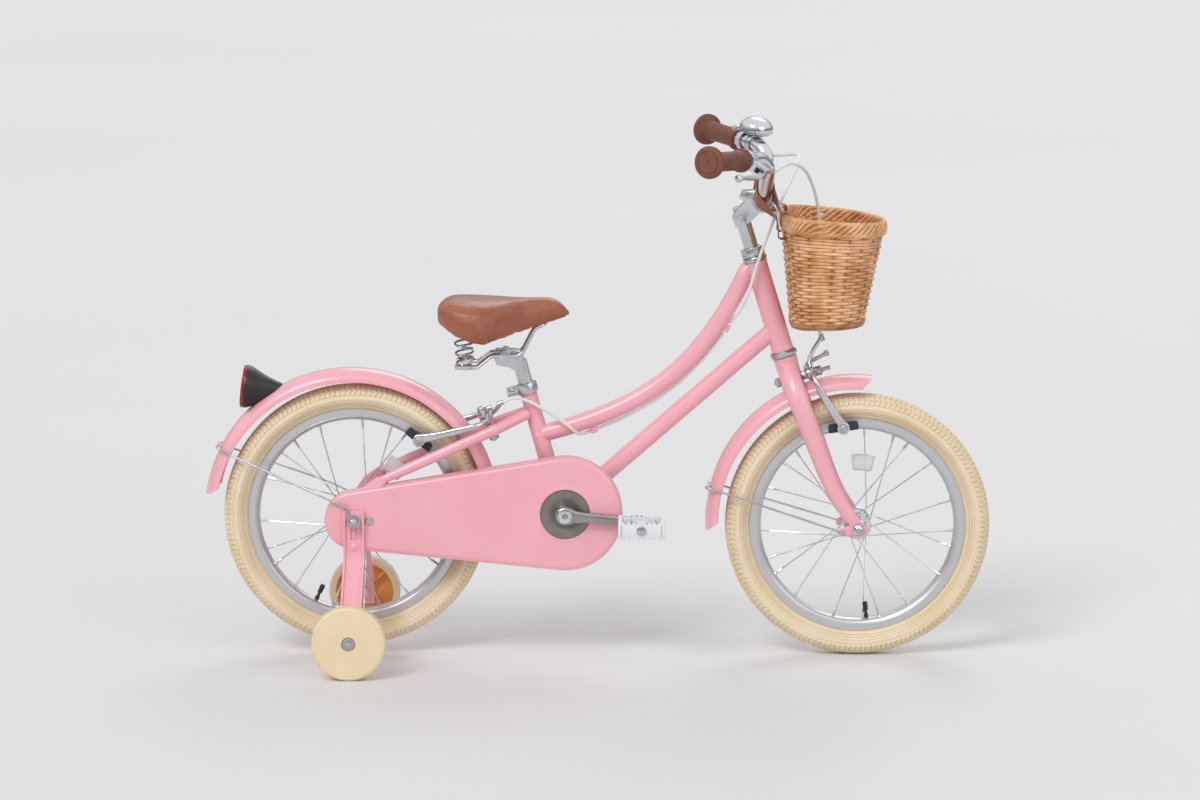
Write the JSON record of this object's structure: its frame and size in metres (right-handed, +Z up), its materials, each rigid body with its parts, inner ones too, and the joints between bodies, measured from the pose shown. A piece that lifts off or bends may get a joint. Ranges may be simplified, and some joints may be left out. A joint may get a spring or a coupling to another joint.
{
  "type": "kids bike",
  "caption": "Step-through children's bicycle with stabilisers, front basket, mudguards, full chain case and side-pull calliper brakes.",
  "frame": {"origin": "middle of the bicycle's length and width, on the floor it stands on", "axes": "+X forward, +Z up, the chain side is -Y"},
  "size_m": [1.1683, 0.49, 0.7949],
  "materials": {
    "pink_paint": "gloss enamel",
    "pink_plastic": "gloss",
    "cream_tyre": "matte rubber",
    "cream_plastic": "satin moulded",
    "alloy_rim": "satin machined",
    "cast_alloy": "satin cast",
    "chrome_steel": "polished",
    "plated_steel": "bright zinc plate",
    "brown_rubber": "matte moulded",
    "tan_leather": "satin grained",
    "honey_wicker": "varnished willow",
    "white_housing": "gloss",
    "black_plastic": "satin moulded",
    "red_lens": "prismatic gloss",
    "clear_plastic": "translucent prismatic"
  },
  "bodies": {
    "frame": {"frame": "pink_paint", "headset_upper_cup": "chrome_steel", "headset_lower_cup": "chrome_steel", "seat_collar": "cast_alloy", "chain_case": "pink_paint", "chain": "plated_steel", "rear_mudguard": "pink_paint", "rear_mudguard_stay": "plated_steel", "rear_reflector_housing": "black_plastic", "rear_reflector_lens": "red_lens", "stabiliser_bracket_right": "pink_paint", "stabiliser_bracket_left": "pink_paint", "rear_axle": "plated_steel", "rear_brake_bolt": "plated_steel", "rear_brake_cable": "white_housing"},
    "steering": {"fork": "pink_paint", "headset_locknut": "chrome_steel", "stem": "cast_alloy", "handlebar": "chrome_steel", "grip_right": "brown_rubber", "grip_left": "brown_rubber", "brake_lever_clamp_right": "cast_alloy", "brake_lever_clamp_left": "cast_alloy", "bell": "chrome_steel", "front_brake_cable": "white_housing", "rear_brake_cable_front": "white_housing", "front_brake_bolt": "plated_steel", "front_mudguard": "pink_paint", "front_mudguard_stay": "plated_steel", "front_axle": "plated_steel", "basket": "honey_wicker", "basket_strap_right": "tan_leather", "basket_strap_left": "tan_leather"},
    "brake_lever_right": {"brake_lever_right": "cast_alloy"},
    "brake_lever_left": {"brake_lever_left": "cast_alloy"},
    "bell_lever": {"bell_lever": "chrome_steel"},
    "front_brake_arm_right": {"front_brake_arm_right": "cast_alloy"},
    "front_brake_arm_left": {"front_brake_arm_left": "cast_alloy"},
    "rear_brake_arm_right": {"rear_brake_arm_right": "cast_alloy"},
    "rear_brake_arm_left": {"rear_brake_arm_left": "cast_alloy"},
    "front_wheel": {"front_tyre": "cream_tyre", "front_rim": "alloy_rim", "front_hub_and_spokes": "chrome_steel", "front_spoke_reflector": "clear_plastic"},
    "rear_wheel": {"rear_tyre": "cream_tyre", "rear_rim": "alloy_rim", "rear_hub_and_spokes": "chrome_steel", "rear_spoke_reflector": "clear_plastic"},
    "sprocket": {"rear_sprocket": "plated_steel"},
    "cranks": {"crank_right": "chrome_steel", "crank_left": "chrome_steel"},
    "pedal_right": {"pedal_right": "clear_plastic"},
    "pedal_left": {"pedal_left": "clear_plastic"},
    "seatpost": {"seatpost": "cast_alloy", "saddle_rails": "chrome_steel", "saddle_spring_right": "chrome_steel", "saddle_spring_left": "chrome_steel"},
    "saddle": {"saddle": "tan_leather"},
    "stabiliser_wheel_right": {"stabiliser_wheel_right": "cream_plastic"},
    "stabiliser_wheel_left": {"stabiliser_wheel_left": "cream_plastic"}
  },
  "joints": [
    {"name": "steering_turn", "type": "hinge", "parent": "frame", "child": "steering", "pos_m": [0.27537, 0, 0.458], "axis": [-0.294, 0, 0.9558], "range_deg": [-60, 60], "deforming": ["rear_brake_cable_front"]},
    {"name": "front_wheel_spin", "type": "hinge", "parent": "steering", "child": "front_wheel", "pos_m": [0.38757, 0, 0.197], "axis": [0, 1, 0], "continuous": true},
    {"name": "rear_wheel_spin", "type": "hinge", "parent": "frame", "child": "rear_wheel", "pos_m": [-0.35943, 0, 0.2098], "axis": [0, 1, 0], "continuous": true},
    {"name": "crank_spin", "type": "hinge", "parent": "frame", "child": "cranks", "pos_m": [-0.04643, 0, 0.22], "axis": [0, 1, 0], "continuous": true},
    {"name": "sprocket_spin", "type": "hinge", "parent": "frame", "child": "sprocket", "pos_m": [-0.35943, 0, 0.2098], "axis": [0, 1, 0], "continuous": true},
    {"name": "pedal_right_spin", "type": "hinge", "parent": "cranks", "child": "pedal_right", "pos_m": [0.06717, 0, 0.21046], "axis": [0, 1, 0], "continuous": true},
    {"name": "pedal_left_spin", "type": "hinge", "parent": "cranks", "child": "pedal_left", "pos_m": [-0.16003, 0, 0.22954], "axis": [0, 1, 0], "continuous": true},
    {"name": "stabiliser_right_spin", "type": "hinge", "parent": "frame", "child": "stabiliser_wheel_right", "pos_m": [-0.35943, 0, 0.0545], "axis": [0, 1, 0], "continuous": true},
    {"name": "stabiliser_left_spin", "type": "hinge", "parent": "frame", "child": "stabiliser_wheel_left", "pos_m": [-0.35943, 0, 0.0545], "axis": [0, 1, 0], "continuous": true},
    {"name": "brake_lever_right_pull", "type": "hinge", "parent": "steering", "child": "brake_lever_right", "pos_m": [0.24208, -0.13678, 0.73941], "axis": [-0.5372, 0.2437, -0.8075], "range_deg": [0, 10], "stiffness_Nm_per_rad": 0.4, "springref_deg": -17.19},
    {"name": "brake_lever_left_pull", "type": "hinge", "parent": "steering", "child": "brake_lever_left", "pos_m": [0.24208, 0.13678, 0.73941], "axis": [0.5372, 0.2437, 0.8075], "range_deg": [0, 10], "stiffness_Nm_per_rad": 0.4, "springref_deg": -17.19},
    {"name": "front_brake_arm_right_close", "type": "hinge", "parent": "steering", "child": "front_brake_arm_right", "pos_m": [0.2886, 0, 0.41499], "axis": [0.9558, 0, 0.294], "range_deg": [0, 1.55]},
    {"name": "front_brake_arm_left_close", "type": "hinge", "parent": "steering", "child": "front_brake_arm_left", "pos_m": [0.2886, 0, 0.41499], "axis": [-0.9558, 0, -0.294], "range_deg": [0, 1.55]},
    {"name": "rear_brake_arm_left_close", "type": "hinge", "parent": "frame", "child": "rear_brake_arm_left", "pos_m": [-0.15903, 0, 0.3394], "axis": [-0.4003, 0, 0.9164], "range_deg": [0, 1.35]},
    {"name": "rear_brake_arm_right_close", "type": "hinge", "parent": "frame", "child": "rear_brake_arm_right", "pos_m": [-0.15903, 0, 0.3394], "axis": [0.4003, 0, -0.9164], "range_deg": [0, 1.35]},
    {"name": "bell_lever_push", "type": "hinge", "parent": "steering", "child": "bell_lever", "pos_m": [0.23276, 0.10871, 0.75408], "axis": [0.1736, 0, 0.9848], "range_deg": [0, 30], "stiffness_Nm_per_rad": 0.03, "springref_deg": -17.19},
    {"name": "seatpost_slide", "type": "slide", "parent": "frame", "child": "seatpost", "axis": [-0.2656, 0, 0.9641], "range_m": [-0.02, 0.06]},
    {"name": "saddle_flex", "type": "hinge", "parent": "seatpost", "child": "saddle", "pos_m": [-0.08743, 0, 0.488], "axis": [0, -1, 0], "range_deg": [0, 2.5], "stiffness_Nm_per_rad": 450, "springref_deg": -0.57, "deforming": ["saddle_spring_right", "saddle_spring_left"]}
  ],
  "couplings": [
    {"joint": "sprocket_spin", "follows": "crank_spin", "ratio": 2},
    {"joint": "front_brake_arm_right_close", "follows": "brake_lever_right_pull", "ratio": 0.14},
    {"joint": "front_brake_arm_left_close", "follows": "brake_lever_right_pull", "ratio": 0.14},
    {"joint": "rear_brake_arm_right_close", "follows": "brake_lever_left_pull", "ratio": 0.115},
    {"joint": "rear_brake_arm_left_close", "follows": "brake_lever_left_pull", "ratio": 0.115}
  ]
}
